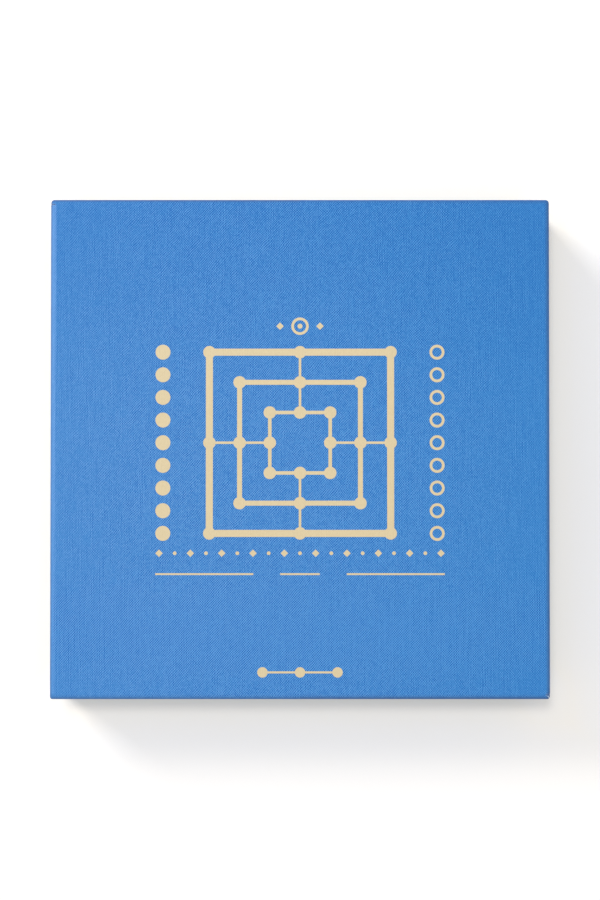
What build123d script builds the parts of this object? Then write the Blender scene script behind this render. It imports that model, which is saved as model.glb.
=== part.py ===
from build123d import *

import os

# Nine men's morris box, all lengths in millimetres.
# The origin is the middle of the base's underside, +Z is up and the front of the box faces -Y.
# A lid lifts off a base that has a raised inner neck. Inside, foam holds eighteen men and a rules
# booklet, and a loose playing board lies on top of them.

# Sheet stock
cloth_t = 0.4        # book cloth over every outer face
panel_t = 2.0        # greyboard panel of the lid's top
floor_t = 2.0        # greyboard floor of the base
base_wall_t = 2.0    # greyboard walls of the base
neck_t = 1.5         # greyboard neck inside the base walls
paper_t = 0.2        # paper inside the lid and over the neck
turn_in = 7.0        # cloth folded over each rim and glued inside
underside_t = 0.3    # sheet pasted under the base
underside_inset = 4.0

# Outside of the closed box, whose width, depth and height follow from what it holds
base_height = 22.0   # table to the rim of the base
seam_gap = 0.3       # rim of the base to rim of the closed lid
round_r = 1.6        # corners, top edges and bottom edges, over the cloth
lid_clear = 0.5      # lid's inside to the neck, on each side
lid_headroom = 2.0   # neck to the lid's lining

# Foam inside the base
slab_t = 9.2
deck_t = 10.0
rail_w = 8.0
side_block_w = 21.3  # foam on each side of the booklet's recess
rear_block_w = 17.6  # foam behind it

# Men and their wells
wells_across = 3     # each colour lies in a square of three by three wells
man_d = 20.0
man_h = 12.0
man_top_r = 2.2
man_foot_r = 0.8
dish_d = 13.0
dish_depth = 0.9
man_headroom = 1.0   # men to the playing board
well_clear = 0.5     # round each man
well_web = 4.0       # foam left between two wells
well_margin = 6.5    # foam in front of and behind the wells

# Playing board
board_t = 8.0
board_gap = 1.0      # playing board to the neck, on each side
board_corner_r = 3.0
board_edge_r = 0.5
sheet_t = 0.3        # printed sheet round the core, and the sheet under it
neck_lip = 0.5       # how far the neck stands above the playing board
diagram_edge = 24.3  # board's edge to the diagram's outer square
line_w = 1.6
point_d = 6.4
inlay_t = 0.15

# Pull ribbon of the playing board
ribbon_w = 12.0
ribbon_t = 0.4
ribbon_tail = 18.0   # length on top of the playing board
ribbon_glued = 26.0  # length under it
ribbon_notch = 4.0   # depth of the swallowtail
ribbon_clear = 0.3   # round the ribbon in the foam rail

# Rules booklet
booklet_w = 148.0
booklet_h = 105.0
cover_t = 0.3
pages_t = 1.2
page_trim = 0.6      # pages stop this far inside the cover's edges
spine_r = 0.5
booklet_gap = 2.0    # booklet to the foam
finger_gap = 20.0    # free space beside the booklet, for a fingertip
staple_w = 12.0
staple_wire = 0.5
staple_leg = 3.0
staple_pitch = 52.0

# Foil design pressed into the lid's cloth
foil_t = 0.1
emblem_y = 3.0
emblem_pitch = 14.5              # between neighbouring squares
emblem_lines = (1.7, 2.4, 3.4)   # inner, middle and outer square
spoke_w = 1.2                    # lines that join the squares
emblem_point_d = 6.0
column_gap = 17.0                # emblem to the column of discs or rings beside it
disc_d = 7.2
ring_w = 1.3
bead_drop = 7.8                  # emblem to the middle of the row of beads
bead_count = 19
bead_size = 3.6
rule_drop = 17.8                 # emblem to the middle of the broken rule
rule_t = 0.9
rule_long = 47.0
rule_short = 19.0
crest_rise = 10.8                # emblem to the middle of the crest above it
crest_d = 8.4
crest_dot_d = 2.4
crest_side = 9.6                 # middle of the crest to the lozenge beside it
mill_edge = 13.0                 # front of the lid to the middle of the three joined discs
mill_pitch = 18.0
mill_d = 5.0
mill_bar_t = 1.0

# Heights, from the table up
floor_z = underside_t + cloth_t
slab_z = floor_z + floor_t
deck_z = slab_z + slab_t
deck_top = deck_z + deck_t
board_z = deck_z + man_h + man_headroom
board_top = board_z + board_t
neck_top = board_top + neck_lip
lid_ceiling = neck_top + lid_headroom
panel_z = lid_ceiling + paper_t
box_height = panel_z + panel_t + cloth_t
lid_rim = base_height + seam_gap

# Pitches and radii that follow from the sizes above
well_r = man_d / 2 + well_clear
well_pitch = 2 * well_r + well_web
board_r = round_r - cloth_t
lid_wall_t = base_wall_t - lid_clear


# The deck in plan: wells in front, then the booklet's recess, then the rear block
wells_depth = wells_across * well_pitch + 2 * well_margin
recess_depth = booklet_h + 2 * booklet_gap
recess_half_x = (booklet_w + finger_gap) / 2 + booklet_gap
deck_half = (recess_half_x + side_block_w, (wells_depth + recess_depth + rear_block_w) / 2)
recess_front = wells_depth - deck_half[1]
recess_back = recess_front + recess_depth


def grown(half, distance):
    """Half sizes of a rectangle a distance outside another, or inside it if that is negative."""
    return (half[0] + distance, half[1] + distance)


# Half sizes across the box as (x, y), from the deck out
interior = grown(deck_half, rail_w)
neck_inside = grown(interior, paper_t)
neck_outside = grown(neck_inside, neck_t)
base_inside = grown(neck_outside, paper_t)              # cloth turned in at the base's rim
carcass = grown(base_inside, cloth_t + base_wall_t)     # outer faces of all greyboard walls
outside = grown(carcass, cloth_t)
board_half = grown(interior, -board_gap)


def block(x, y, z):
    """A box between the two ends that are given along each axis."""
    size = [high - low for low, high in (x, y, z)]
    middle = [(high + low) / 2 for low, high in (x, y, z)]
    return Pos(*middle) * Box(*size)


def plate(half, z):
    """A box centred on the origin in plan."""
    return block((-half[0], half[0]), (-half[1], half[1]), z)


def rounded_plate(half, z, standing_r, top_r=0.0):
    """A centred box with rounded standing edges and, where top_r is given, a rounded top edge."""
    solid = plate(half, z)
    solid = fillet(solid.edges().filter_by(Axis.Z), standing_r)
    if top_r:
        solid = fillet(solid.faces().sort_by(Axis.Z)[-1].edges(), top_r)
    return solid


def four_walls(outline, half, thickness, z):
    """Cuts four walls from an outline. Front and rear run the full width, the sides between them."""
    x, y = half
    ends = (thickness - y, y - thickness)
    return {
        "front": outline & block((-x, x), (-y, ends[0]), z),
        "rear": outline & block((-x, x), (ends[1], y), z),
        "left": outline & block((-x, thickness - x), ends, z),
        "right": outline & block((x - thickness, x), ends, z),
    }


def clad_tray(height, wall_t, base_t):
    """Greyboard panel and walls with their cloth, open downwards and with the rim at z = 0."""
    wall_top = height - cloth_t - base_t
    wall_z = (cloth_t, wall_top)
    walls = four_walls(rounded_plate(carcass, wall_z, board_r), carcass, wall_t, wall_z)
    panel = rounded_plate(carcass, (wall_top, height - cloth_t), board_r, board_r)
    wall_inside = grown(carcass, -wall_t)
    cloth = rounded_plate(outside, (0, height), round_r, round_r)
    cloth -= plate(wall_inside, (turn_in, wall_top))
    cloth -= plate(grown(wall_inside, -cloth_t), (0, wall_top))
    for solid in (panel, *walls.values()):
        cloth -= solid
    return panel, walls, cloth


def ring(diameter, width):
    """A flat ring with the given outer diameter."""
    return Circle(diameter / 2) - Circle(diameter / 2 - width)


def lozenge(size):
    """A flat square that stands on a corner."""
    half = size / 2
    return Polygon((half, 0), (0, half), (-half, 0), (0, -half))


def square_frame(half, width):
    """A square outline whose line is centred on the given half side."""
    outer, inner = 2 * half + width, 2 * half - width
    return Rectangle(outer, outer) - Rectangle(inner, inner)


def morris_diagram(pitch, line_widths, joining_w, dot_d):
    """Three squares one inside the other, four joining lines and the twenty-four points."""
    flat = Sketch()
    for number, width in enumerate(line_widths, start=1):
        half = number * pitch
        flat += square_frame(half, width)
        spots = [(x, y) for x in (-half, 0, half) for y in (-half, 0, half) if x or y]
        flat += [Pos(*spot) * Circle(dot_d / 2) for spot in spots]
    middle = (1 + len(line_widths)) / 2 * pitch
    length = (len(line_widths) - 1) * pitch
    for side in (-middle, middle):
        flat += Pos(side, 0) * Rectangle(length, joining_w)
        flat += Pos(0, side) * Rectangle(joining_w, length)
    return flat


def foil_columns(emblem_half, column_x):
    """One disc for each light man and one ring for each dark man, beside the emblem."""
    count = wells_across ** 2
    span = 2 * len(emblem_lines) * emblem_pitch
    rows = [emblem_y + span * (row / (count - 1) - 0.5) for row in range(count)]
    discs = [Pos(-column_x, y) * Circle(disc_d / 2) for y in rows]
    return discs + [Pos(column_x, y) * ring(disc_d, ring_w) for y in rows]


def foil_beads(y, half_width):
    """A row of lozenges and dots in turn."""
    pitch = (2 * half_width - bead_size) / (bead_count - 1)
    kinds = (lozenge(bead_size), Circle(bead_size / 4))
    middle = (bead_count - 1) / 2
    return [Pos((number - middle) * pitch, y) * kinds[number % 2] for number in range(bead_count)]


def foil_rule(y, half_width):
    """A thin rule in three pieces, flush with the design's two sides."""
    outer = half_width - rule_long / 2
    middle_piece = Pos(0, y) * Rectangle(rule_short, rule_t)
    return [middle_piece] + [Pos(x, y) * Rectangle(rule_long, rule_t) for x in (-outer, outer)]


def foil_crest(y):
    """A ring round a dot, between two lozenges."""
    shapes = [Pos(0, y) * ring(crest_d, ring_w), Pos(0, y) * Circle(crest_dot_d / 2)]
    return shapes + [Pos(x, y) * lozenge(bead_size) for x in (-crest_side, crest_side)]


def foil_mill(y):
    """Three discs in a row on a bar: a mill, which is what a player tries to make."""
    discs = [Pos(step * mill_pitch, y) * Circle(mill_d / 2) for step in (-1, 0, 1)]
    return discs + [Pos(0, y) * Rectangle(2 * mill_pitch, mill_bar_t)]


def foil_design():
    """The whole design as one flat sketch."""
    emblem_half = len(emblem_lines) * emblem_pitch + emblem_lines[-1] / 2
    column_x = emblem_half + column_gap + disc_d / 2
    half_width = column_x + disc_d / 2
    emblem_front = emblem_y - emblem_half
    flat = Pos(0, emblem_y) * morris_diagram(emblem_pitch, emblem_lines, spoke_w, emblem_point_d)
    flat += foil_columns(emblem_half, column_x)
    flat += foil_beads(emblem_front - bead_drop, half_width)
    flat += foil_rule(emblem_front - rule_drop, half_width)
    flat += foil_crest(emblem_y + emblem_half + crest_rise)
    flat += foil_mill(mill_edge - outside[1])
    return flat


def lid_parts():
    """The lid: a greyboard tray upside down, its cloth, its lining and its foil."""
    panel, walls, cloth = clad_tray(box_height - lid_rim, lid_wall_t, panel_t)
    foil = extrude(Pos(0, 0, box_height - foil_t) * foil_design(), foil_t)
    lift = Pos(0, 0, lid_rim)
    parts = {f"lid_{side}_wall": lift * wall for side, wall in walls.items()}
    parts["lid_top_board"] = lift * panel
    parts["lid_cloth"] = lift * cloth - foil
    parts["lid_foil"] = foil
    wall_inside = grown(carcass, -lid_wall_t)
    lining = plate(wall_inside, (lid_rim + turn_in, panel_z))
    parts["lid_lining"] = lining - plate(grown(wall_inside, -paper_t), (lid_rim, lid_ceiling))
    return parts


def base_parts():
    """The base: a greyboard tray in its cloth, and the sheet pasted under it."""
    panel, walls, cloth = clad_tray(base_height - underside_t, base_wall_t, floor_t)
    pieces = {"floor_board": panel, "cloth": cloth}
    pieces |= {f"{side}_wall": wall for side, wall in walls.items()}
    upright = {
        f"base_{name}": Pos(0, 0, base_height) * mirror(piece, about=Plane.XY)
        for name, piece in pieces.items()
    }
    return upright | {"base_underside_sheet": plate(grown(outside, -underside_inset), (0, underside_t))}


def neck_parts():
    """The greyboard neck that the lid slides over, and the paper round its three free faces."""
    z = (slab_z, neck_top - paper_t)
    walls = four_walls(plate(neck_outside, z), neck_outside, neck_t, z)
    paper_z = (slab_z, neck_top)
    paper = plate(base_inside, paper_z) - plate(interior, paper_z)
    for wall in walls.values():
        paper -= wall
    return {f"neck_{side}": wall for side, wall in walls.items()} | {"neck_paper": paper}


def well_spots(side):
    """The middles of one colour's wells, row by row from the front. side is -1 or 1."""
    middle_x = side * deck_half[0] / 2
    first_y = -deck_half[1] + well_margin + well_pitch / 2
    steps = range(wells_across)
    first_x = middle_x - well_pitch * (wells_across - 1) / 2
    return [(first_x + i * well_pitch, first_y + j * well_pitch) for j in steps for i in steps]


def well_plate(side):
    """One half of the deck's front part, with the wells of one colour cut through it."""
    x = sorted((0, side * deck_half[0]))
    solid = block(x, (-deck_half[1], recess_front), (deck_z, deck_top))
    for spot in well_spots(side):
        cutter = Cylinder(well_r, deck_t, align=(Align.CENTER, Align.CENTER, Align.MIN))
        solid -= Pos(*spot, deck_z) * cutter
    return solid


def foam_parts():
    """A slab on the floor, rails that carry the playing board, and the deck between them."""
    rail_z = (deck_z, board_z)
    rails = four_walls(plate(interior, rail_z), interior, rail_w, rail_z)
    parts = {f"foam_rail_{side}": rail for side, rail in rails.items()}
    ribbon_half = ribbon_w / 2 + ribbon_clear
    ribbon_way = (board_z - ribbon_t - ribbon_clear, board_z)
    parts["foam_rail_left"] -= block((-interior[0], -deck_half[0]), (-ribbon_half, ribbon_half), ribbon_way)
    parts["foam_slab"] = plate(interior, (slab_z, deck_z))
    parts["foam_wells_light"] = well_plate(-1)
    parts["foam_wells_dark"] = well_plate(1)
    x, y = deck_half
    z = (deck_z, deck_top)
    beside = (recess_front, recess_back)
    parts["foam_block_left"] = block((-x, -recess_half_x), beside, z)
    parts["foam_block_right"] = block((recess_half_x, x), beside, z)
    parts["foam_block_rear"] = block((-x, x), (recess_back, y), z)
    return parts


def playing_board_parts():
    """A fibreboard core in a printed sheet, with the morris diagram let into it."""
    under_top = board_z + sheet_t
    core_half = grown(board_half, -sheet_t)
    core = rounded_plate(core_half, (under_top, board_top - sheet_t), board_corner_r - sheet_t)
    sheet = rounded_plate(board_half, (under_top, board_top), board_corner_r, board_edge_r)
    point_pitch = (min(board_half) - diagram_edge) / 3
    diagram = morris_diagram(point_pitch, 3 * (line_w,), line_w, point_d)
    lines = extrude(Pos(0, 0, board_top - inlay_t) * diagram, inlay_t)
    return {
        "board_core": core,
        "board_printed_sheet": sheet - core - lines,
        "board_underside_sheet": rounded_plate(board_half, (board_z, under_top), board_corner_r),
        "board_lines": lines,
        "board_ribbon": pull_ribbon(),
    }


def pull_ribbon():
    """A ribbon glued under the playing board, up round its left edge, its tail on top."""
    edge = -board_half[0]
    back = edge - ribbon_t
    width = (-ribbon_w / 2, ribbon_w / 2)
    low, high = board_z - ribbon_t, board_top + ribbon_t
    tip = edge + ribbon_tail
    corners = ((tip, width[1]), (tip, width[0]), (tip - ribbon_notch, 0))
    tail = block((back, tip), width, (board_top, high))
    tail -= extrude(Pos(0, 0, board_top) * Polygon(*corners, align=None), ribbon_t)
    rise = block((back, edge), width, (low, high))
    return tail + rise + block((back, edge + ribbon_glued), width, (low, board_z))


def staple(x, y, z):
    """A wire staple with its crown on the spine and two legs in the pages."""
    wire = staple_wire / 2
    across = (z - wire, z + wire)
    half = staple_w / 2
    solid = block((x - wire, x + wire), (y - half, y + half), across)
    for middle in (y - half + wire, y + half - wire):
        solid += block((x - wire, x + staple_leg), (middle - wire, middle + wire), across)
    return solid


def booklet_parts():
    """A stapled booklet that lies in the recess, close to its left end."""
    x0 = booklet_gap - recess_half_x
    x1 = x0 + booklet_w
    middle_y = (recess_front + recess_back) / 2
    y = (middle_y - booklet_h / 2, middle_y + booklet_h / 2)
    thickness = pages_t + 2 * cover_t
    pages_z = (deck_z + cover_t, deck_z + cover_t + pages_t)
    cover = block((x0, x1), y, (deck_z, deck_z + thickness))
    cover = fillet(cover.edges().filter_by(Axis.Y).group_by(Axis.X)[0], spine_r)
    cover -= block((x0 + cover_t, x1), y, pages_z)
    pages = block((x0 + cover_t, x1 - page_trim), (y[0] + page_trim, y[1] - page_trim), pages_z)
    spots = [middle_y - staple_pitch / 2, middle_y + staple_pitch / 2]
    staples = Part() + [staple(x0, spot, deck_z + thickness / 2) for spot in spots]
    return {
        "booklet_cover": cover - staples,
        "booklet_pages": pages - staples,
        "booklet_staples": staples,
    }


def turned_man():
    """A thick disc with rounded edges and a dished top, standing on z = 0."""
    disc = Cylinder(man_d / 2, man_h, align=(Align.CENTER, Align.CENTER, Align.MIN))
    disc = fillet(disc.edges().group_by(Axis.Z)[-1], man_top_r)
    disc = fillet(disc.edges().group_by(Axis.Z)[0], man_foot_r)
    dish_r = (dish_d**2 / 4 + dish_depth**2) / (2 * dish_depth)
    return disc - Pos(0, 0, man_h - dish_depth + dish_r) * Sphere(dish_r)


def men_parts():
    """The light men in the left wells and the dark men in the right wells."""
    turned = turned_man()
    return {
        f"{colour}_man_{number}": Pos(*spot, deck_z) * turned
        for colour, side in (("light", -1), ("dark", 1))
        for number, spot in enumerate(well_spots(side), start=1)
    }


def main():
    """Writes each piece of the box to its own STEP file."""
    os.makedirs("parts", exist_ok=True)
    parts = lid_parts() | base_parts() | neck_parts() | foam_parts()
    parts |= playing_board_parts() | booklet_parts() | men_parts()
    for node, shape in parts.items():
        export_step(shape, f"parts/{node}.step")
    width, depth = 2 * outside[0], 2 * outside[1]
    print(f"{len(parts)} nodes, closed box {width:g} x {depth:g} x {box_height:g} mm")


main()
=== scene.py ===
import math

import bmesh
import bpy
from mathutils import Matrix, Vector


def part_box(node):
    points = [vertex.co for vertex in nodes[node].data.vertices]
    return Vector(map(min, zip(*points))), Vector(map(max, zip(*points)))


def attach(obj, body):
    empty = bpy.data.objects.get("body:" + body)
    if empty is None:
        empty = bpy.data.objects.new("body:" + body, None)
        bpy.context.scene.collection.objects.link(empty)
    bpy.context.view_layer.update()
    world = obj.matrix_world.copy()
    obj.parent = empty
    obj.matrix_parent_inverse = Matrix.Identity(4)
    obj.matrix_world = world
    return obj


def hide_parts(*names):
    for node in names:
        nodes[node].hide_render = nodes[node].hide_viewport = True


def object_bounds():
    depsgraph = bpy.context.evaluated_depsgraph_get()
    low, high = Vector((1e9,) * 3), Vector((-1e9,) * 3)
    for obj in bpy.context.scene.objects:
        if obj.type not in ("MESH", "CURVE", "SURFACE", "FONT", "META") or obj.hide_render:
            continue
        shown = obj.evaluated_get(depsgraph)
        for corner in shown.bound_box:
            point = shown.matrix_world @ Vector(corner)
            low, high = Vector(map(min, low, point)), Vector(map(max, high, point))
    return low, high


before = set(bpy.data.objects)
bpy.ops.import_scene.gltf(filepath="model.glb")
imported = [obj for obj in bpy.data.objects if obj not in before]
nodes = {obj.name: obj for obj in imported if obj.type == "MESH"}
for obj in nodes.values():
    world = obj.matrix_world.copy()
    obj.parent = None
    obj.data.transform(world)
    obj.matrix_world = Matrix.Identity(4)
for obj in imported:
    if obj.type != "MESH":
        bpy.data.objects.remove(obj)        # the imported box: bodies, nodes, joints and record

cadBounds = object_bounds()
mm = 0.001
near = 0.01 * mm         # vertices this close to a plane are on it
halfSide = cadBounds[1].x    # of the box, which is square
sides = ("left", "right", "front", "rear")


# Small helpers for working as by hand

def deselectAll():
    if bpy.context.object and bpy.context.object.mode != "OBJECT":
        bpy.ops.object.mode_set(mode="OBJECT")
    bpy.ops.object.select_all(action="DESELECT")


def workOn(piece):
    deselectAll()
    piece.select_set(True)
    bpy.context.view_layer.objects.active = piece


def editMode(piece):
    workOn(piece)
    bpy.ops.object.mode_set(mode="EDIT")


def objectMode():
    bpy.ops.object.mode_set(mode="OBJECT")


def select(piece, kind, test):
    # test gets each face, edge or vertex of the mesh in edit mode
    mesh = bmesh.from_edit_mesh(piece.data)
    parts = {"FACE": mesh.faces, "EDGE": mesh.edges, "VERT": mesh.verts}[kind]
    bpy.ops.mesh.select_mode(type=kind)
    bpy.ops.mesh.select_all(action="DESELECT")
    taken = [part for part in parts if test(part)]
    assert taken, piece.name
    for part in taken:
        part.select_set(True)
    mesh.select_flush_mode()
    bmesh.update_edit_mesh(piece.data)


def settle(piece):
    # place, turn and size go into the mesh
    workOn(piece)
    bpy.ops.object.transform_apply(location=True, rotation=True, scale=True)


def addModifier(piece, kind, **settings):
    workOn(piece)
    modifier = piece.modifiers.new(kind, kind)
    for name, value in settings.items():
        setattr(modifier, name, value)
    bpy.ops.object.modifier_apply(modifier=modifier.name)


def smoothBy(piece, degrees):
    workOn(piece)
    bpy.ops.object.shade_smooth_by_angle(angle=math.radians(degrees))


# Materials: a wire is a socket that sums and products can be written with

class Wire:
    def __init__(self, tree, socket):
        self.tree, self.socket = tree, socket

    def maths(self, operation, *values, flip=False):
        terms = [self, *values][::-1] if flip else [self, *values]
        return self.tree.add("ShaderNodeMath", {"operation": operation}, dict(enumerate(terms)))

    def __add__(self, other):
        return self.maths("ADD", other)

    def __sub__(self, other):
        return self.maths("SUBTRACT", other)

    def __rsub__(self, other):
        return self.maths("SUBTRACT", other, flip=True)

    def __mul__(self, other):
        return self.maths("MULTIPLY", other)

    def __truediv__(self, other):
        return self.maths("DIVIDE", other)

    def __pow__(self, other):
        return self.maths("POWER", other)

    def __mod__(self, other):
        return self.maths("FLOORED_MODULO", other)

    def __gt__(self, other):
        return self.maths("GREATER_THAN", other)

    def __lt__(self, other):
        return self.maths("LESS_THAN", other)

    def __abs__(self):
        return self.maths("ABSOLUTE")

    __radd__, __rmul__ = __add__, __mul__

    def floor(self):
        return self.maths("FLOOR")

    def sine(self):
        return self.maths("SINE")

    def cosine(self):
        return self.maths("COSINE")

    def clamped(self):
        return self.tree.add("ShaderNodeClamp", {}, {"Value": self})

    def most(self, other):
        return self.maths("MAXIMUM", other)

    def least(self, other):
        return self.maths("MINIMUM", other)

    def ramp(self, low, high):
        # 0 below low, 1 above high, smooth between
        settings = {"interpolation_type": "SMOOTHSTEP"}
        return self.tree.add("ShaderNodeMapRange", settings, {"Value": self, 1: low, 2: high})

    def line(self, centre, width, soft=0.3):
        # 1 on a line of the given width, with edges that fade over a share of it
        return 1 - abs(self - centre).ramp(width * (0.5 - soft / 2), width * (0.5 + soft / 2))


class NodeTree:
    def __init__(self, tree, shader):
        self.tree, self.shader = tree, tree.nodes[shader]

    def add(self, kind, settings, inputs, out=0):
        # settings are set first, then the sockets, by name or number, to a value or a wire
        node = self.tree.nodes.new(kind)
        for name, value in settings.items():
            setattr(node, name, value)
        for name, value in inputs.items():
            self.plug(node.inputs[name], value)
        return Wire(self, node.outputs[out])

    def plug(self, socket, value):
        if isinstance(value, Wire):
            self.tree.links.new(value.socket, socket)
        elif isinstance(value, tuple) and socket.type == "RGBA":
            socket.default_value = (*value, 1.0)
        else:
            socket.default_value = value

    def finish(self, **values):
        # shader sockets, with their names' spaces left out
        for socket in self.shader.inputs:
            name = socket.name.replace(" ", "")
            if name in values:
                self.plug(socket, values.pop(name))
        assert not values, values

    def outputs(self, kind, *names):
        first = self.add(kind, {}, {}, out=names[0])
        return [first] + [Wire(self, first.socket.node.outputs[name]) for name in names[1:]]

    def mix(self, factor, first, second, way="MIX"):
        settings = {"data_type": "RGBA", "blend_type": way}
        return self.add("ShaderNodeMix", settings, {0: factor, 6: first, 7: second}, out=2)

    def split(self, vector):
        first = self.add("ShaderNodeSeparateXYZ", {}, {0: vector})
        return [Wire(self, socket) for socket in first.socket.node.outputs]

    def place(self):
        # x, y and z in the box's frame, in metres
        return self.split(self.add("ShaderNodeTexCoord", {}, {}, out="Object"))

    def facing(self):
        # how far the surface looks along x, y and z, from 0 to 1
        return [abs(part) for part in self.split(self.add("ShaderNodeTexCoord", {}, {}, out="Normal"))]

    def spot(self, x, y, z=0.0):
        return self.add("ShaderNodeCombineXYZ", {}, {0: x, 1: y, 2: z})

    def noise(self, scale=1.0, detail=2.0, rough=0.5, where=None, out=0):
        where = where or self.add("ShaderNodeTexCoord", {}, {}, out="Object")
        inputs = {"Vector": where, "Scale": scale, "Detail": detail, "Roughness": rough}
        return self.add("ShaderNodeTexNoise", {}, inputs, out)

    def grain(self, place, often, detail=1.0):
        # noise that changes so often in a metre each way
        stretched = [part * times for part, times in zip(place, often)]
        return self.noise(detail=detail, where=self.spot(*stretched))

    def cells(self, size):
        coords = self.add("ShaderNodeTexCoord", {}, {}, out="Object")
        return self.add("ShaderNodeTexVoronoi", {}, {"Vector": coords, "Scale": 1 / size}, out="Distance")

    def dice(self, number):
        # a random tone for each whole number
        return self.add("ShaderNodeTexWhiteNoise", {"noise_dimensions": "1D"}, {"W": number})

    def bump(self, height, depth, strength=1.0):
        return self.add("ShaderNodeBump", {}, {"Height": height, "Distance": depth, "Strength": strength})

    def seen(self):
        # 1 for what meets the eye, straight, in a reflection or through glass
        rays = self.outputs("ShaderNodeLightPath", "Is Camera Ray", "Is Glossy Ray", "Is Transmission Ray")
        return rays[0].most(rays[1]).most(rays[2])


class Paint(NodeTree):
    def __init__(self, name, **shader):
        self.material = bpy.data.materials.new(name)
        self.material.use_nodes = True
        super().__init__(self.material.node_tree, "Principled BSDF")
        self.finish(**shader)


def dress(piece, paint):
    piece.data.materials.clear()
    piece.data.materials.append(paint.material)


def dressNodes(paint, *names):
    for name in names:
        dress(nodes[name], paint)


# Light, floor and camera

overhead = {
    "lookAt": (0.0, -0.0005, 0.038),
    "distance": 0.79,
    "elevation": 89.06,    # degrees above the table, from the front
    "lens": 65.85,
}


def placeCamera(spec):
    tilt = math.radians(spec["elevation"])
    back = Vector((0.0, -math.cos(tilt), math.sin(tilt)))
    bpy.ops.object.camera_add(location=Vector(spec["lookAt"]) + back * spec["distance"])
    eye = bpy.context.object
    eye.name = "overheadCamera"
    eye.data.lens = spec["lens"]
    eye.data.clip_start = 0.01
    eye.rotation_euler = (math.radians(90.0 - spec["elevation"]), 0.0, 0.0)
    bpy.context.scene.camera = eye


studio = {
    "skyLevel": 0.54,      # what the room gives a level white card, as a share of full white
    "skyRight": 0.20,      # how much brighter the room is on the right, and in front
    "skyFront": 0.20,
    "floorSize": 60.0,
    "floorBeside": (0.970, 0.886, 0.742),    # warmer beside the box, which throws blue light on it
    "besideReach": 30.0 * mm,
    "cornerStart": 100.0 * mm,    # past the corners it goes part of the way back to plain
    "cornerEnd": 122.0 * mm,
    "cornerShare": 0.6,
    "floorColour": (0.912, 0.886, 0.858),
    "floorGlow": 0.18,
    "floorFades": (0.7, 1.6),    # metres from the box over which the floor goes over to plain white
    "floorHole": 118.0 * mm,     # half the width of the clear square under the box
}
# each lamp: its bearing from +X, degrees above the table, distance, width, and the light that it
# gives a level white card
lamps = {
    "window": {"bearing": 137.0, "up": 32.4, "away": 4.0, "size": 1.30, "level": 0.275},
    "ceilingBox": {"bearing": 120.0, "up": 75.2, "away": 4.0, "size": 0.60, "level": 0.24},
}


def placeLamp(name, spec):
    up, bearing = math.radians(spec["up"]), math.radians(spec["bearing"])
    towards = Vector((math.cos(bearing) * math.cos(up), math.sin(bearing) * math.cos(up), math.sin(up)))
    bpy.ops.object.light_add(type="AREA", location=towards * spec["away"])
    lamp = bpy.context.object
    lamp.name = name
    lamp.data.size = spec["size"]
    # a small square lamp of P watts has a radiance of P / (pi * area), so this is P for the level
    lamp.data.energy = spec["level"] * math.pi ** 2 * spec["away"] ** 2 / math.sin(up)
    lamp.rotation_euler = (-towards).to_track_quat("-Z", "Y").to_euler()


def lightRoom(spec):
    world = bpy.data.worlds.new("paleRoom")
    world.use_nodes = True
    bpy.context.scene.world = world
    sky = NodeTree(world.node_tree, "Background")
    x, y = sky.split(sky.add("ShaderNodeTexCoord", {}, {}, out="Generated"))[:2]    # where the ray goes
    room = (x * spec["skyRight"] - y * spec["skyFront"] + 1) * spec["skyLevel"]
    seen = sky.seen()
    sky.finish(Color=(1.0, 1.0, 1.0), Strength=seen + (1 - seen) * room)


def layFloor(spec):
    bpy.ops.mesh.primitive_plane_add(size=spec["floorSize"])
    floor = bpy.context.object
    floor.name = "studioFloor"
    paint = Paint("paleFloor", Roughness=0.9, SpecularIORLevel=0.0)
    x, y = paint.place()[:2]
    far, close = abs(x).most(abs(y)), abs(x).least(abs(y))
    pastCorner = close.ramp(spec["cornerStart"], spec["cornerEnd"]) * spec["cornerShare"]
    plain = (far - halfSide).ramp(0.0, spec["besideReach"]).most(pastCorner)
    paint.finish(BaseColor=paint.mix(plain, spec["floorBeside"], spec["floorColour"]))
    away = ((x * x + y * y) ** 0.5).ramp(*spec["floorFades"])
    glow = paint.seen() * (away * (1 - spec["floorGlow"]) + spec["floorGlow"])
    paint.finish(EmissionColor=paint.mix(glow, (0.0, 0.0, 0.0), (1.0, 1.0, 1.0)), EmissionStrength=1.0)
    # clear from below and under the box, so that its underside shows and is lit
    below = paint.add("ShaderNodeNewGeometry", {}, {}, out="Backfacing")
    under = far < spec["floorHole"]
    clear = paint.add("ShaderNodeBsdfTransparent", {}, {})
    shaders = {0: below.most(under), 1: Wire(paint, paint.shader.outputs[0]), 2: clear}
    surface = paint.add("ShaderNodeMixShader", {}, shaders)
    paint.plug(paint.tree.nodes["Material Output"].inputs["Surface"], surface)
    dress(floor, paint)


placeCamera(overhead)
for name, spec in lamps.items():
    placeLamp(name, spec)
lightRoom(studio)
layFloor(studio)
print("camera, lamps and floor are in place")


# Book cloth: plain weave whose threads run up and round the box, with raw edges at its corners

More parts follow.
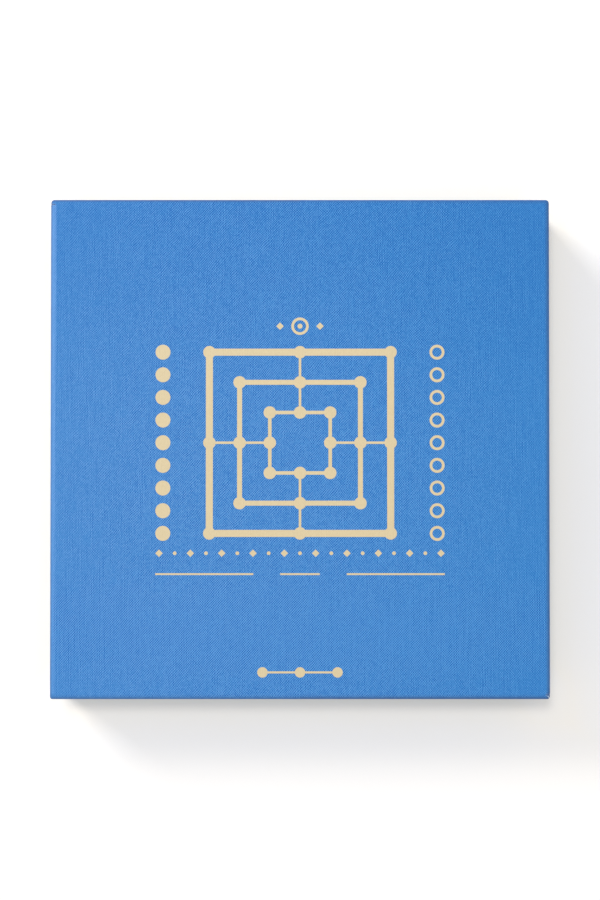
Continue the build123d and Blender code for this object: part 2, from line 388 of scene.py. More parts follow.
bookCloth = {
    "warpPitch": 0.57 * mm,
    "weftPitch": 0.616 * mm,
    "wander": 0.5 * mm,      # how widely all threads stray together, and each set by itself
    "wobble": 1.0 * mm,
    "evenInBand": 0.6,       # how much less the sets stray in the band near the front
    "bandAt": -85.0 * mm,    # where that band's middle is, and how far from it the band starts to
    "bandFull": 8.0 * mm,    # fade and is gone
    "bandGone": 30.0 * mm,
    "blunt": 0.35,           # the smaller, the blunter a thread's rise is at its ends
    "leanLeft": 0.30,        # how much more one diagonal of the painted crossing light shows than the other, at the left and all over
    "leanAll": 0.08,
    "slub": 34.0,            # how many crossings a lighter or darker stretch of a thread runs for
    "pairDrift": 0.17,       # how fast the difference between neighbouring threads changes, per thread
    "pairTone": 0.8,         # how much every other thread differs, and each by itself
    "singleTone": 0.5,
    "relief": 0.05 * mm,
}
clothColours = {
    "deep": (0.0015, 0.105, 0.430),
    "blue": (0.0618, 0.250, 0.600),
    "pale": (0.196, 0.402, 0.768),
    "unfaded": (0.647, 0.932, 0.987),    # what these are multiplied by away from the painted sheen
    "rearFade": 0.33,        # how much less painted sheen there is at the rear, in the band and at the front
    "bandFade": 0.22,
    "frontFade": 0.30,
    "rearTone": 0.08,        # painted shade: a deeper tone at the rear
    "middleTone": 0.02,      # a lighter one in the middle, more so in the band
    "bandTone": 0.08,
    "mottle": 0.07,          # slow clouds
    "highTone": 0.13,        # painted shade: threads are lighter where they stand up, darker in the hollows
    "checker": 0.60,         # painted sheen and shade: how differently warp and weft catch the light where they cross, and how much of it shows
    "showsAll": 0.41,        # all over, in the middle, in the band, and in the middle of the band
    "showsMiddle": 0.54,
    "showsBand": 0.49,
    "showsBoth": 0.36,
    "blurAtBend": 0.6,       # how much of the weave is lost on the rounded edges
    "patches": 1.1,          # how uneven the crossings are from place to place
    "threadTone": 0.34,      # tone from one thread to the next, and how much more in the band
    "threadBand": 0.4,
    "knotTone": 0.26,        # tone from one crossing to the next, all over and in the middle
    "knotAll": 0.65,
    "knotMiddle": 0.55,
}
clothWear = {
    "rubbed": (0.31, 0.56, 1.00),
    "edgeWear": 0.20,            # how much wear and painted sheen light the rounded edges, most at the left rear, towards the light
    "strip": (117.0 * mm, 118.0 * mm),    # where a strip beside the left edge begins and has its wear and painted sheen in full
    "stripWider": 0.3 * mm,      # it is wider by this at the rear
    "rightShare": 0.1,           # how much wear and painted sheen the right side has against the left
    "leftRearMore": 0.3,
    "frontLess": 0.4,
    "frontward": (20.0 * mm, -100.0 * mm),    # over which the wear and painted sheen go down to that
    "ends": (116.5 * mm, 118.5 * mm),     # over which it goes down by this share at the edges' ends
    "endsLess": 0.8,
    # the colour that painted shade darkens the edges, cut lines and dent towards
    "crease": (0.060, 0.092, 0.215),
    "edgeShade": 0.42,           # how dark the painted shade along the rounded edges is
    "soil": {                    # how far in from each side it reaches, and how strongly
        "left": (1.5 * mm, 1.25),
        "right": (2.8 * mm, 1.1),
        "front": (3.0 * mm, 0.8),
        "rear": (2.0 * mm, 1.0),
    },
    "cornerSoil": 0.5,           # how much more painted shade the two worn corners have, from here outwards
    "cornerFrom": 116.6 * mm,
    "cutTop": 35.5 * mm,         # the cut edges show up to here, and over the top at those two corners
    "cut": (0.26 * mm, 0.12 * mm),        # how far from a cut edge its painted shade is gone, and full
    "cutShade": 0.85,
    "loose": (0.62 * mm, 0.38 * mm),      # the same for loose threads
    "frayed": (0.72, 0.84, 0.98),
    "looseShare": 0.30,          # how much of this colour loose threads show
    "tornFrom": 34.0 * mm,       # the two corners are frayed in full from here up, and the rest this much
    "tornElsewhere": 0.15,
    "foldFrom": 118.3 * mm,      # the worn fold is this far out and this high up
    "foldHigh": 35.8 * mm,
    "foldAt": 0.30 * mm,         # how far to the side of the corner's middle it lies
    "fold": (0.30 * mm, 0.10 * mm),       # how far from its line its wear is gone, and full
    "foldShare": 0.95,
    "dentAt": -0.45 * mm,        # and the same for the painted shade of the dent beside it
    "dent": (0.5 * mm, 0.2 * mm),
    "dentShade": 0.8,
}


def fromLeft(x):
    # 1 at the left edge, 0 at the right one
    return (0.5 - x / (halfSide * 2)).clamped()


def frontBand(y):
    # 1 in the band near the front, 0 outside it
    return 1 - abs(y - bookCloth["bandAt"]).ramp(bookCloth["bandFull"], bookCloth["bandGone"])


def weave(paint, spec):
    x, y, z = paint.place()
    lookX, lookY, lookZ = paint.facing()
    onTop = lookZ > 0.7
    onSide = (lookX > lookY) * (1 - onTop)
    drift = (paint.noise(scale=22.0, detail=1.0) - 0.5) * spec["wander"]
    strayWarp, strayWeft = paint.split(paint.noise(scale=190.0, detail=0.0, out="Color"))[:2]
    wobble = (1 - frontBand(y) * spec["evenInBand"]) * spec["wobble"]
    across = (x + onSide * (y - x) + drift + (strayWarp - 0.5) * wobble) / spec["warpPitch"]
    along = (z + onTop * (y - z) + drift + (strayWeft - 0.5) * wobble) / spec["weftPitch"]
    warp, weft = across.floor(), along.floor()
    crossing = (warp + weft) % 2
    turnWarp, turnWeft = across * math.pi, along * math.pi
    overWarp, overWeft = abs(turnWarp.sine()), abs(turnWeft.sine())
    warpUp = overWarp * (overWeft ** spec["blunt"])
    weftUp = (overWarp ** spec["blunt"]) * overWeft
    high = warpUp * crossing + weftUp * (1 - crossing)
    lean = fromLeft(x) * spec["leanLeft"] + spec["leanAll"]
    # painted light and shade on the crossings, one diagonal brighter as under light from the upper left
    checker = turnWarp.sine() * turnWeft.sine() + turnWarp.cosine() * turnWeft.cosine() * lean
    # threads differ singly and, more, every other one from those beside it
    run = along / spec["slub"]
    layer = 9.5    # any depth in the noise that the single threads don't read
    pairs = paint.noise(detail=0.0, where=paint.spot(warp * spec["pairDrift"], run, layer)) - 0.5
    singles = paint.noise(detail=0.0, where=paint.spot(warp + 0.5, run)) - 0.5
    tones = pairs * ((warp % 2) * 2 - 1) * spec["pairTone"] + singles * spec["singleTone"]
    # each crossing has its own number, until one thread over and this many down
    numbersApart = 131.0
    knots = paint.dice(warp * numbersApart + weft) - 0.5
    return high, checker, tones, knots


def weaveColour(paint, spec, weaving, bend):
    high, checker, tones, knots = weaving
    x, y = paint.place()[:2]
    band, left, rear = frontBand(y), fromLeft(x), y.ramp(0.0, halfSide)
    # the weave is plainest in the middle and in the band near the front
    middle = (1 - x * x / halfSide ** 2).most(1 - paint.facing()[2])
    shows = middle * spec["showsMiddle"] + band * (middle * spec["showsBoth"] + spec["showsBand"])
    patchy = paint.noise(scale=130.0, detail=1.0) * spec["patches"] + 1 - spec["patches"] * 0.5
    shows = (shows + spec["showsAll"]) * patchy * (1 - bend * spec["blurAtBend"])
    uneven = tones * spec["threadTone"] * (band * spec["threadBand"] + 1)
    uneven = uneven + knots * spec["knotTone"] * (middle * spec["knotMiddle"] + spec["knotAll"])
    clouds = (paint.noise(scale=14.0, detail=3.0) - 0.5) * spec["mottle"]
    hollowShading = (high - 0.6) * spec["highTone"]
    places = middle * (band * spec["bandTone"] + spec["middleTone"]) - rear * spec["rearTone"]
    tone = (0.5 + checker * shows * spec["checker"] + uneven + clouds + hollowShading + places).clamped()
    colour = paint.mix(tone * 2, spec["deep"], spec["blue"])
    colour = paint.mix((tone - 0.5).clamped() * 2, colour, spec["pale"])
    # painted sheen: lighter at the left end, towards the light, and not at the right
    paintedSheen = left * (1 - y.ramp(0.0, -halfSide) * spec["frontFade"])
    paintedSheen = (paintedSheen - rear * spec["rearFade"] - band * spec["bandFade"]).clamped()
    kept = paint.mix(paintedSheen, spec["unfaded"], (1.0, 1.0, 1.0))
    return paint.mix(1.0, colour, kept, "MULTIPLY")


# wear and painted sheen on the rounded edges, lighter at the left, towards the light
def edgeWear(paint, spec, bend):
    x, y = paint.place()[:2]
    left, rear = fromLeft(x), y.ramp(0.0, halfSide)
    strip = (rear * spec["stripWider"] - x).ramp(*spec["strip"]) * paint.facing()[2]
    wearAndSheen = bend.most(strip) * (left * (1 - spec["rightShare"]) + spec["rightShare"])
    wearAndSheen = wearAndSheen * (1 - abs(y).ramp(*spec["ends"]) * spec["endsLess"])
    more = left * rear * spec["leftRearMore"] + 1 - y.ramp(*spec["frontward"]) * spec["frontLess"]
    return (wearAndSheen * more * spec["edgeWear"]).clamped()


# painted shade along the rounded edges of the top, darkest at the rim and deeper at two corners
def edgePaintedShade(paint, spec, twoCorners):
    x, y = paint.place()[:2]
    left = fromLeft(x)
    away = {
        "left": x + halfSide,
        "right": halfSide - x,
        "front": y + halfSide,
        "rear": (halfSide - y) * (left * 0.4 + 0.8),    # reaches further at its right end
    }
    shadeDepth = []
    for side, (reach, most) in spec["soil"].items():
        shadeDepth.append(((1 - away[side] / reach).most(0.0) * most) ** 2)
    shadeDepth = (sum(shadeDepth) ** 0.5).ramp(0.0, 0.85) * paint.facing()[2].ramp(0.03, 0.2)
    corners = twoCorners * (abs(y) > spec["cornerFrom"]) * spec["cornerSoil"] + 1
    return shadeDepth * corners * spec["edgeShade"]


def clothPaint(spec, colours, wear, wrap):
    paint = Paint("bookClothBlue", Roughness=0.6, SpecularIORLevel=0.15, SheenWeight=0.06,
                  SheenRoughness=0.4)
    weaving = weave(paint, spec)
    high = weaving[0]
    x, y, z = paint.place()
    lookZ = paint.facing()[2]
    bend = lookZ.ramp(0.12, 0.5) * (1 - lookZ.ramp(0.955, 0.999))    # neither upright nor level
    twoCorners = (x * y) < 0    # left rear and right front
    colour = weaveColour(paint, colours, weaving, bend)
    colour = paint.mix(edgeWear(paint, wear, bend), colour, wear["rubbed"])
    # a cut edge runs up the left and right sides, frayed at two of the corners, its line painted in shade
    gap = abs(abs(y) - wrap["tuck"])
    atEdge = (abs(x) > wrap["frayFrom"]) * twoCorners.most(z < wear["cutTop"])
    torn = twoCorners * (z > wear["tornFrom"]) * (1 - wear["tornElsewhere"]) + wear["tornElsewhere"]
    loose = paint.noise(scale=2600.0, detail=2.0).ramp(0.44, 0.58) * gap.ramp(*wear["loose"])
    cut = gap.ramp(*wear["cut"]) * atEdge * wear["cutShade"]
    # and a worn fold crosses the right front corner, with a dent beside it painted in shade
    slant, corner = abs(x) - abs(y), abs(x).least(abs(y))
    atFold = (corner > wear["foldFrom"]) * twoCorners * (x > 0) * (z > wear["foldHigh"])
    fold = abs(slant - wear["foldAt"]).ramp(*wear["fold"]) * atFold
    dent = abs(slant - wear["dentAt"]).ramp(*wear["dent"]) * atFold * wear["dentShade"]
    shade = cut.most(dent)
    paintedEdgeShade = edgePaintedShade(paint, wear, twoCorners)
    # painted shade on the cut edges, the dent and the rounded edges
    colour = paint.mix(shade.most(paintedEdgeShade).clamped(), colour, wear["crease"])
    frayed = (loose * atEdge * torn * wear["looseShare"]).most(fold * wear["foldShare"])
    colour = paint.mix(frayed.clamped() * (1 - shade), colour, wear["frayed"])
    fibres = paint.noise(scale=9000.0, detail=1.0)
    paint.finish(BaseColor=colour, Normal=paint.bump(high + fibres * 0.3, spec["relief"], 0.6))
    return paint


foil = {
    "shade": (0.64, 0.515, 0.300),
    "bright": (0.76, 0.630, 0.395),
    "checker": 0.16,    # how much of the weave's painted light and shade under it shows, and of its threads
    "threads": 0.3,
    "relief": 0.03 * mm,
}


def foilPaint(spec, cloth):
    paint = Paint("creamGoldFoil", Roughness=0.42, SpecularIORLevel=0.35)
    high, checker, tones, knots = weave(paint, cloth)
    threads = tones * spec["threads"] + knots * spec["threads"]
    tone = (0.5 + checker * spec["checker"] + threads).clamped()
    colour = paint.mix(tone, spec["shade"], spec["bright"])
    paint.finish(BaseColor=colour, Normal=paint.bump(high, spec["relief"], 0.4))
    return paint


# Cloth wraps: a cube shaped into a shallow tray, its rim turned in, then given the cloth's thickness

wraps = {
    "lid": {"node": "lid_cloth", "wall": "lid_left_wall", "open": -1, "name": "lidClothWrap",
            "cut": (0.290, 0.290), "area": 0.0816, "board": "lid_top_board"},
    "base": {"node": "base_cloth", "wall": "base_left_wall", "open": 1, "name": "baseClothWrap",
             "cut": (0.303, 0.303), "area": 0.0878, "board": "base_floor_board"},
    # how far each edge is rounded, as shares of the largest: standing corners by the signs of x and y
    "round": 2.0 * mm,
    "corners": {(-1, 1): 0.85, (1, 1): 0.85, (-1, -1): 0.6, (1, -1): 0.65},
    "edges": {(-1, 0): 0.95, (1, 0): 0.95, (0, 1): 0.6, (0, -1): 0.8},
    "segments": 6,
    "thick": 0.34 * mm,
    "glue": 0.03 * mm,         # between the cloth and what it is stuck to
    "turnIn": 7.0 * mm,
    "foilProud": 0.05 * mm,    # the cloth's top lies this far under the foil
    "tuck": 117.7 * mm,        # where the cut edges run up the left and right sides
    "tuckWide": 0.28 * mm,
    "tuckDeep": 0.17 * mm,
    "tuckStep": 0.07 * mm,     # the cloth beyond the cut edge lies this much further in
    "tuckOver": 1.4 * mm,      # how far in over the rounded edge it runs, at two corners
    "frayFrom": 117.6 * mm,    # from here outwards they show
}


def signOf(value):
    return (value > near) - (value < -near)


def roundWrap(tray, common, closedZ):
    editMode(tray)
    mesh = bmesh.from_edit_mesh(tray.data)
    weight = mesh.edges.layers.float.new("bevel_weight_edge")
    for edge in mesh.edges:
        a, b = (v.co for v in edge.verts)
        middle = (signOf(a.x + b.x), signOf(a.y + b.y))
        if middle in common["corners"]:
            edge[weight] = common["corners"][middle]
        elif abs(a.z - closedZ) < near:
            edge[weight] = common["edges"][middle]
    bmesh.update_edit_mesh(tray.data)
    objectMode()
    addModifier(tray, "BEVEL", width=common["round"], segments=common["segments"], limit_method="WEIGHT")


def cutTucks(tray, common, half):
    # along each cut edge a fine groove, and past it the cloth that lies under the other
    wide, deep, over = common["tuckWide"], common["tuckDeep"], common["tuckOver"]
    editMode(tray)
    for side in (-1, 1):
        for step in (-wide, 0.0, wide):
            bpy.ops.mesh.select_all(action="SELECT")
            spot = (0.0, side * (common["tuck"] + step), 0.0)
            bpy.ops.mesh.bisect(plane_co=spot, plane_no=(0.0, 1.0, 0.0))
    for side in (-1, 1):
        # over the rounded edge only at the left rear and right front corners
        atSide = lambda v: v.co.x * side > half.x - (over if v.co.x * v.co.y < 0 else near)
        select(tray, "VERT", lambda v: atSide(v) and abs(v.co.y) > common["tuck"] - near)
        bpy.ops.transform.translate(value=(-side * common["tuckStep"], 0.0, 0.0))
        select(tray, "VERT", lambda v: atSide(v) and abs(abs(v.co.y) - common["tuck"]) < near)
        bpy.ops.transform.translate(value=(-side * deep, 0.0, 0.0))
    objectMode()


def wrapTray(spec, common):
    low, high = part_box(spec["node"])
    if spec["open"] < 0:
        high.z -= common["foilProud"]
    # the turned-in cloth lies on the inner faces of the walls, here taken from the left one
    inner = -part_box(spec["wall"])[1].x - common["thick"] - common["glue"]
    openZ, closedZ = (low.z, high.z) if spec["open"] < 0 else (high.z, low.z)
    bpy.ops.mesh.primitive_cube_add(size=1.0, location=(low + high) / 2, scale=high - low)
    tray = bpy.context.object
    tray.name = spec["name"]
    settle(tray)
    editMode(tray)
    select(tray, "FACE", lambda f: f.normal.z * spec["open"] > 0.9)
    bpy.ops.mesh.delete(type="FACE")
    roundWrap(tray, common, closedZ)
    cutTucks(tray, common, high)
    editMode(tray)
    select(tray, "EDGE", lambda e: all(abs(v.co.z - openZ) < near for v in e.verts))
    bpy.ops.mesh.extrude_region_move()
    bpy.ops.transform.resize(value=(inner / high.x, inner / high.y, 1.0), center_override=(0.0, 0.0, openZ))
    inwards = (0.0, 0.0, -spec["open"] * common["turnIn"])
    bpy.ops.mesh.extrude_region_move(TRANSFORM_OT_translate={"value": inwards})
    objectMode()
    addModifier(tray, "SOLIDIFY", thickness=common["thick"], offset=-1.0)
    smoothBy(tray, 40)
    return tray


clothBlue = clothPaint(bookCloth, clothColours, clothWear, wraps)
for body in ("lid", "base"):
    spec = wraps[body]
    wrap = wrapTray(spec, wraps)
    dress(wrap, clothBlue)
    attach(wrap, body)
    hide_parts(spec["node"])
print("cloth wraps are on")

dress(nodes["lid_foil"], foilPaint(foil, bookCloth))
print("foil is pressed")


# Boards and papers

papers = {
    "greyboard": {"light": (0.40, 0.38, 0.35), "dark": (0.25, 0.235, 0.215), "fleck": (0.62, 0.60, 0.56),
                  "flecks": 0.55, "rough": 0.9, "relief": 0.06 * mm},
    "fibreboard": {"light": (0.44, 0.31, 0.19), "dark": (0.27, 0.18, 0.10), "fleck": (0.15, 0.10, 0.06),
                   "flecks": 0.5, "rough": 0.85, "relief": 0.05 * mm},
    "liningPaper": {"light": (0.83, 0.82, 0.79), "dark": (0.76, 0.745, 0.71), "fleck": (0.62, 0.60, 0.56),
                    "flecks": 0.25, "rough": 0.8, "relief": 0.02 * mm},
    "bookletPages": {"light": (0.86, 0.85, 0.81), "dark": (0.79, 0.77, 0.72), "fleck": (0.70, 0.68, 0.62),
                     "flecks": 0.2, "rough": 0.8, "relief": 0.015 * mm,
                     "leaf": 0.1 * mm, "between": (0.42, 0.40, 0.36)},
    "blueUnderpaper": {"light": (0.050, 0.215, 0.53), "dark": (0.030, 0.165, 0.44),
                       "fleck": (0.10, 0.30, 0.62), "flecks": 0.3, "rough": 0.75, "relief": 0.02 * mm},
}


def paperPaint(name, spec):
    paint = Paint(name, Roughness=spec["rough"], SpecularIORLevel=0.25)
    cloud = paint.noise(scale=45.0, detail=4.0, rough=0.6)
    fibre = paint.noise(scale=1700.0, detail=2.0)
    fleck = paint.noise(scale=640.0, detail=1.0).ramp(0.62, 0.72) * spec["flecks"]
    colour = paint.mix((cloud * 0.55 + fibre * 0.45).ramp(0.3, 0.7), spec["dark"], spec["light"])
    colour = paint.mix(fleck, colour, spec["fleck"])
    height = fibre
    if "leaf" in spec:
        # the edges of the leaves show round the block, with painted shade in the gaps between them
        z, upright = paint.place()[2], 1 - paint.facing()[2]
        leaf = (z + (paint.noise(scale=90.0) - 0.5) * 0.05 * mm) / spec["leaf"]
        between = abs((leaf * math.pi).sine()).ramp(0.45, 0.05) * upright
        shade = between * 0.55 + paint.dice(leaf.floor()) * 0.18 * upright
        colour = paint.mix(shade.clamped(), colour, spec["between"])
        height = fibre * 0.4 - between
    paint.finish(BaseColor=colour, Normal=paint.bump(height, spec["relief"], 0.6))
    return paint


paper = {name: paperPaint(name, spec) for name, spec in papers.items()}
dressNodes(paper["greyboard"], "base_floor_board", "lid_top_board")
for side in sides:
    dressNodes(paper["greyboard"], f"base_{side}_wall", f"neck_{side}")
    dressNodes(paper["liningPaper"], f"lid_{side}_wall")
dressNodes(paper["liningPaper"], "lid_lining", "neck_paper", "base_underside_sheet")
dressNodes(paper["fibreboard"], "board_core")
dressNodes(paper["bookletPages"], "booklet_pages")
dressNodes(paper["blueUnderpaper"], "board_underside_sheet")
print("boards and papers are dressed")


# Packing foam: closed cells, with painted shade in the hollows where they are cut open

foam = {
    "dark": (0.016, 0.017, 0.020),
    "light": (0.062, 0.064, 0.071),
    "cell": 0.55 * mm,
    "fineCell": 0.45,    # the smaller cells, as a share of the larger
    "relief": 0.12 * mm,
}


def foamPaint(spec):
    paint = Paint("packingFoam", Roughness=0.95, SpecularIORLevel=0.2)
    wall = paint.cells(spec["cell"])
    fine = paint.cells(spec["cell"] * spec["fineCell"])
    cloud = paint.noise(scale=30.0, detail=3.0)
    # painted shade: the cells' hollows darker than their walls
    tone = (0.15 + wall * 0.75 + fine * 0.3 + (cloud - 0.5) * 0.5).clamped()
    colour = paint.mix(tone, spec["dark"], spec["light"])
    paint.finish(BaseColor=colour, Normal=paint.bump(wall * 0.8 + fine * 0.4, spec["relief"], 0.7))
    return paint


dressNodes(foamPaint(foam), *[name for name in nodes if name.startswith("foam_")])
print("foam is dressed")


# Playing board: cream sheet with a linen finish, two ink borders and the inlaid diagram

printedBoard = {
    "cream": (0.80, 0.745, 0.62),
    "shade": (0.735, 0.675, 0.545),
    "ink": (0.020, 0.115, 0.36),
    "inkPale": (0.045, 0.175, 0.47),
    "borders": ((107.6 * mm, 0.9 * mm), (105.9 * mm, 0.35 * mm)),
    "linenPitch": 0.85 * mm,
    "relief": 0.035 * mm,
}


def linen(paint, pitch):
    x, y = paint.place()[:2]
    fine = paint.noise(scale=2200.0, detail=1.0)
    rise = abs((x / pitch * math.pi).sine()).most(abs((y / pitch * math.pi).sine()))
    return rise + fine * 0.4, fine


def sheetPaint(spec):
    paint = Paint("printedSheet", Roughness=0.55, SpecularIORLevel=0.35)
    height, fine = linen(paint, spec["linenPitch"])
    x, y = paint.place()[:2]
    cloud = paint.noise(scale=28.0, detail=4.0)
    colour = paint.mix((cloud * 0.7 + fine * 0.3).ramp(0.35, 0.7), spec["shade"], spec["cream"])
    out = abs(x).most(abs(y))
    lines = [out.line(centre, width) for centre, width in spec["borders"]]
    solid = lines[0].most(lines[1]) * (0.82 + fine * 0.25)
    colour = paint.mix(solid.clamped(), colour, spec["ink"])
    paint.finish(BaseColor=colour, Normal=paint.bump(height, spec["relief"], 0.5))
    return paint


def inkPaint(spec):
    paint = Paint("lineInk", Roughness=0.5, SpecularIORLevel=0.4)
    height, fine = linen(paint, spec["linenPitch"])
    wearAndSheen = paint.noise(scale=260.0, detail=3.0)
    colour = paint.mix((fine * 0.5 + wearAndSheen * 0.6).ramp(0.4, 0.75), spec["ink"], spec["inkPale"])
    paint.finish(BaseColor=colour, Normal=paint.bump(height, spec["relief"], 0.4))
    return paint


dressNodes(sheetPaint(printedBoard), "board_printed_sheet")
dressNodes(inkPaint(printedBoard), "board_lines")


# Pull ribbon: a woven strip from its forked tail on the board, round the edge and under it

ribbon = {
    "name": "pullRibbon",
    "wide": 12.0 * mm,
    "thick": 0.30 * mm,
    "fork": 4.0 * mm,
    # x and z of its middle line, in millimetres, from the tail on
    "route": ((-101.2, 33.90), (-103.6, 33.52), (-106.2, 33.24), (-108.8, 33.14), (-111.4, 33.22),
              (-113.2, 33.26), (-114.02, 33.10), (-114.42, 32.72), (-114.50, 32.1), (-114.50, 29.0),
              (-114.50, 25.8), (-114.42, 25.16), (-114.02, 24.78), (-113.2, 24.70), (-106.0, 24.70),
              (-97.0, 24.70), (-88.4, 24.70)),
    "tip": (-96.3, 34.70),    # of the tail, which stands up a little
    "forkDip": 0.6,           # how far the fork's bottom dips, as a share of the tail's rise
    "ribPitch": 0.62 * mm,
    "threadPitch": 0.16 * mm,
    "selvedge": (5.3 * mm, 5.6 * mm),    # from the middle line
    "relief": 0.09 * mm,
    "blue": (0.022, 0.135, 0.43),
    "bright": (0.060, 0.250, 0.62),
}


def ribbonPaint(spec):
    paint = Paint("ribbedRibbon", Roughness=0.42, SpecularIORLevel=0.4, SheenWeight=0.15,
                  SheenRoughness=0.35)
    x, y, z = paint.place()
    onEdge = paint.facing()[0] > 0.7
    rib = (x + onEdge * (z - x)) / spec["ribPitch"]
    ridge = abs((rib * math.pi).sine())
    threads = abs((y / spec["threadPitch"] * math.pi).sine())
    selvedge = abs(y).ramp(*spec["selvedge"])
    # painted shade: ribs and threads lighter where they stand up, darker between them
    tone = ridge * 0.55 + threads * 0.2 + paint.dice(rib.floor()) * 0.2 - selvedge * 0.25
    colour = paint.mix(tone.clamped(), spec["blue"], spec["bright"])
    height = ridge * (1 - selvedge * 0.6) + threads * 0.25
    paint.finish(BaseColor=colour, Normal=paint.bump(height, spec["relief"], 0.8))
    return paint


def weaveRibbon(spec):
    points = [(x * mm, z * mm) for x, z in spec["route"]]
    tip = (spec["tip"][0] * mm, spec["tip"][1] * mm)
    first = points[0]
    # the start is a strip from the tip to the route's first point, four squares across
    start = ((tip[0] + first[0]) / 2, 0.0, first[1])
    bpy.ops.mesh.primitive_grid_add(x_subdivisions=1, y_subdivisions=4, size=1.0, location=start)
    strip = bpy.context.object
    bpy.ops.transform.resize(value=(tip[0] - first[0], spec["wide"], 1.0), center_override=start)
    strip.name = spec["name"]
    settle(strip)
    editMode(strip)
    rise = tip[1] - first[1]
    select(strip, "VERT", lambda v: v.co.x > first[0] + near)
    bpy.ops.transform.translate(value=(0.0, 0.0, rise))
    # the fork: the nearer the middle, the further back
    for y, share in ((0.0, 1.0), (spec["wide"] / 4, 0.5)):
        select(strip, "VERT", lambda v: v.co.x > first[0] + near and abs(abs(v.co.y) - y) < near)
        bpy.ops.transform.translate(value=(-share * spec["fork"], 0.0, -share * rise * spec["forkDip"]))
    select(strip, "EDGE", lambda e: all(abs(v.co.x - first[0]) < near for v in e.verts))
    for here, there in zip(points, points[1:]):
        step = (there[0] - here[0], 0.0, there[1] - here[1])
        bpy.ops.mesh.extrude_region_move(TRANSFORM_OT_translate={"value": step})
    bpy.ops.mesh.select_all(action="SELECT")
    bpy.ops.mesh.normals_make_consistent(inside=False)
    objectMode()
    addModifier(strip, "SOLIDIFY", thickness=spec["thick"], offset=0.0)
    addModifier(strip, "SUBSURF", levels=1, render_levels=1)
    smoothBy(strip, 40)
    return strip


pull = weaveRibbon(ribbon)
dress(pull, ribbonPaint(ribbon))
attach(pull, "playing_board")
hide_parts("board_ribbon")
print("playing board and ribbon are dressed")


# Rules booklet: plain cream cover with a small diagram in a frame

booklet = {
    "cream": (0.83, 0.79, 0.69),
    "shade": (0.765, 0.72, 0.61),
    "ink": (0.020, 0.125, 0.40),
    "middle": (-9.0 * mm, 35.2 * mm),
    "pitch": 8.0 * mm,
    "line": 0.7 * mm,
    "dot": 1.5 * mm,
    "frame": ((67.0 * mm, 45.5 * mm), 0.5 * mm),
    "relief": 0.015 * mm,
}


def coverPaint(spec):
    paint = Paint("bookletCover", Roughness=0.6, SpecularIORLevel=0.3)
    x, y = paint.place()[:2]
    x, y = abs(x - spec["middle"][0]), abs(y - spec["middle"][1])
    pitch = spec["pitch"]
    far, close = x.most(y), x.least(y)
    square = (far / pitch + 0.5).floor() * pitch           # the nearest of the nested squares
    inside = (square > 0.5 * pitch) * (square < 3.5 * pitch)
    off = far - square
    strokes = off.line(0.0, spec["line"])
    joins = close.line(0.0, spec["line"]) * (far > pitch) * (far < 3 * pitch)
    toDot = ((off * off + close * close) ** 0.5).least((off * off + (close - square) ** 2.0) ** 0.5)
    dots = toDot.line(0.0, spec["dot"] * 2, 0.1)
    (halfX, halfY), width = spec["frame"]
    border = (x - halfX).most(y - halfY).line(0.0, width)
    ink = (strokes * inside).most(joins).most(dots * inside).most(border)
    fine = paint.noise(scale=1900.0, detail=2.0)
    cloud = paint.noise(scale=35.0, detail=3.0)
    colour = paint.mix((cloud * 0.6 + fine * 0.4).ramp(0.35, 0.7), spec["shade"], spec["cream"])
    colour = paint.mix((ink * (0.85 + fine * 0.2)).clamped(), colour, spec["ink"])
    paint.finish(BaseColor=colour, Normal=paint.bump(fine, spec["relief"], 0.5))
    return paint


staples = {
    "bright": (0.66, 0.665, 0.67),
    "shade": (0.45, 0.455, 0.46),
    "drawn": (9000.0, 300.0, 9000.0),    # how often the wire's marks change in a metre: it lies along y
}


def wirePaint(spec):
    paint = Paint("stapleWire", Metallic=1.0)
    drawn = paint.grain(paint.place(), spec["drawn"], detail=2.0)
    colour = paint.mix(drawn, spec["bright"], spec["shade"])
    paint.finish(BaseColor=colour, Roughness=0.22 + drawn * 0.22)
    return paint


dressNodes(coverPaint(booklet), "booklet_cover")
dressNodes(wirePaint(staples), "booklet_staples")
print("booklet is dressed")


# Men: turned from dowel, so the rings show on their faces and run down their sides

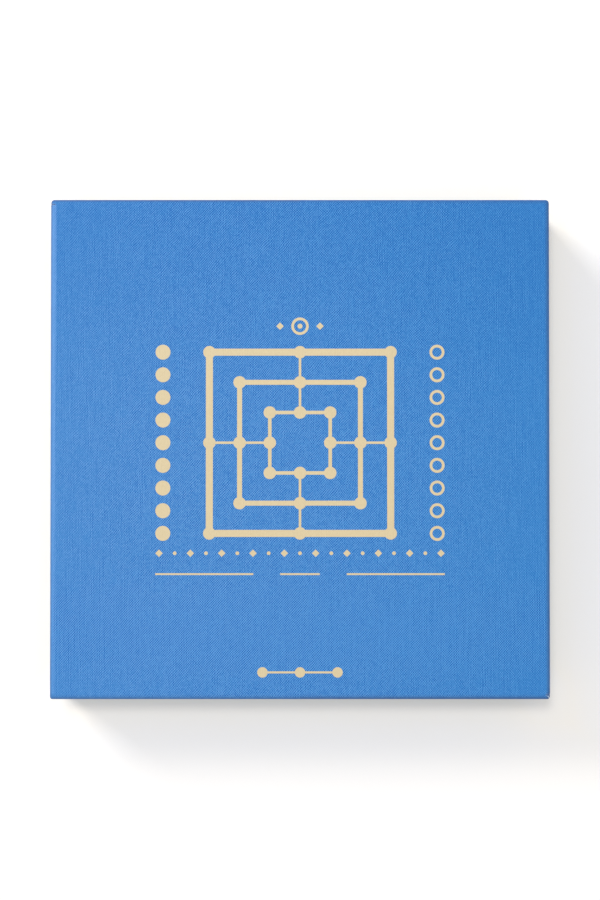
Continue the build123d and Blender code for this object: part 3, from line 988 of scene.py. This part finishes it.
men = {
    "light": {"early": (0.66, 0.455, 0.265), "late": (0.50, 0.315, 0.165), "ray": (0.40, 0.235, 0.115)},
    "dark": {"early": (0.034, 0.105, 0.265), "late": (0.012, 0.045, 0.135), "ray": (0.008, 0.025, 0.085)},
    "ring": 1.6 * mm,       # the usual width of a year's ring
    "pith": 30.0 * mm,      # from a man's middle to the heart of the tree
    "turn": 2.4,            # how far round each man lies against the one before, in radians
    "darkTurn": 1.1,
    "wander": 2.2 * mm,     # how uneven the rings are
    # how often these change in a metre: rays out from the pith, round it and up, pores along x, y and z
    "rays": (260.0, 1900.0, 130.0),
    "pores": (5200.0, 5200.0, 260.0),
    "relief": 0.03 * mm,
}


def manPaint(colour, number, common):
    spec = common[colour]
    low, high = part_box(f"{colour}_man_{number}")
    middle = (low + high) / 2
    turn = number * common["turn"] + (common["darkTurn"] if colour == "dark" else 0.0)
    toPith = Vector((math.cos(turn), math.sin(turn)))
    paint = Paint(f"{colour}Man{number}", Roughness=0.38, SpecularIORLevel=0.45)
    x, y, z = paint.place()
    dx = x - (middle.x + toPith.x * common["pith"])
    dy = y - (middle.y + toPith.y * common["pith"])
    wander = (paint.noise(scale=55.0, detail=2.0) - 0.5) * common["wander"]
    ring = common["ring"] * (0.8 + 0.09 * number % 0.5)    # from 0.8 to 1.3 of the usual
    away = ((dx * dx + dy * dy) ** 0.5 + wander) / ring
    late = (away - away.floor()) ** 2.5
    out, across = dx * toPith.x + dy * toPith.y, dy * toPith.x - dx * toPith.y
    rays = paint.grain((out, across, z), common["rays"]).ramp(0.60, 0.72)
    pores = paint.grain((x, y, z), common["pores"])
    wood = paint.mix((late * 0.75 + (pores - 0.5) * 0.35).clamped(), spec["early"], spec["late"])
    wood = paint.mix(rays * 0.55, wood, spec["ray"])
    paint.finish(BaseColor=wood, Normal=paint.bump(pores - late * 0.3, common["relief"], 0.5))
    return paint


for colour in ("light", "dark"):
    for number in range(1, 10):
        dressNodes(manPaint(colour, number, men), f"{colour}_man_{number}")
print("men are turned and stained")

bpy.context.scene.view_settings.view_transform = "Standard"
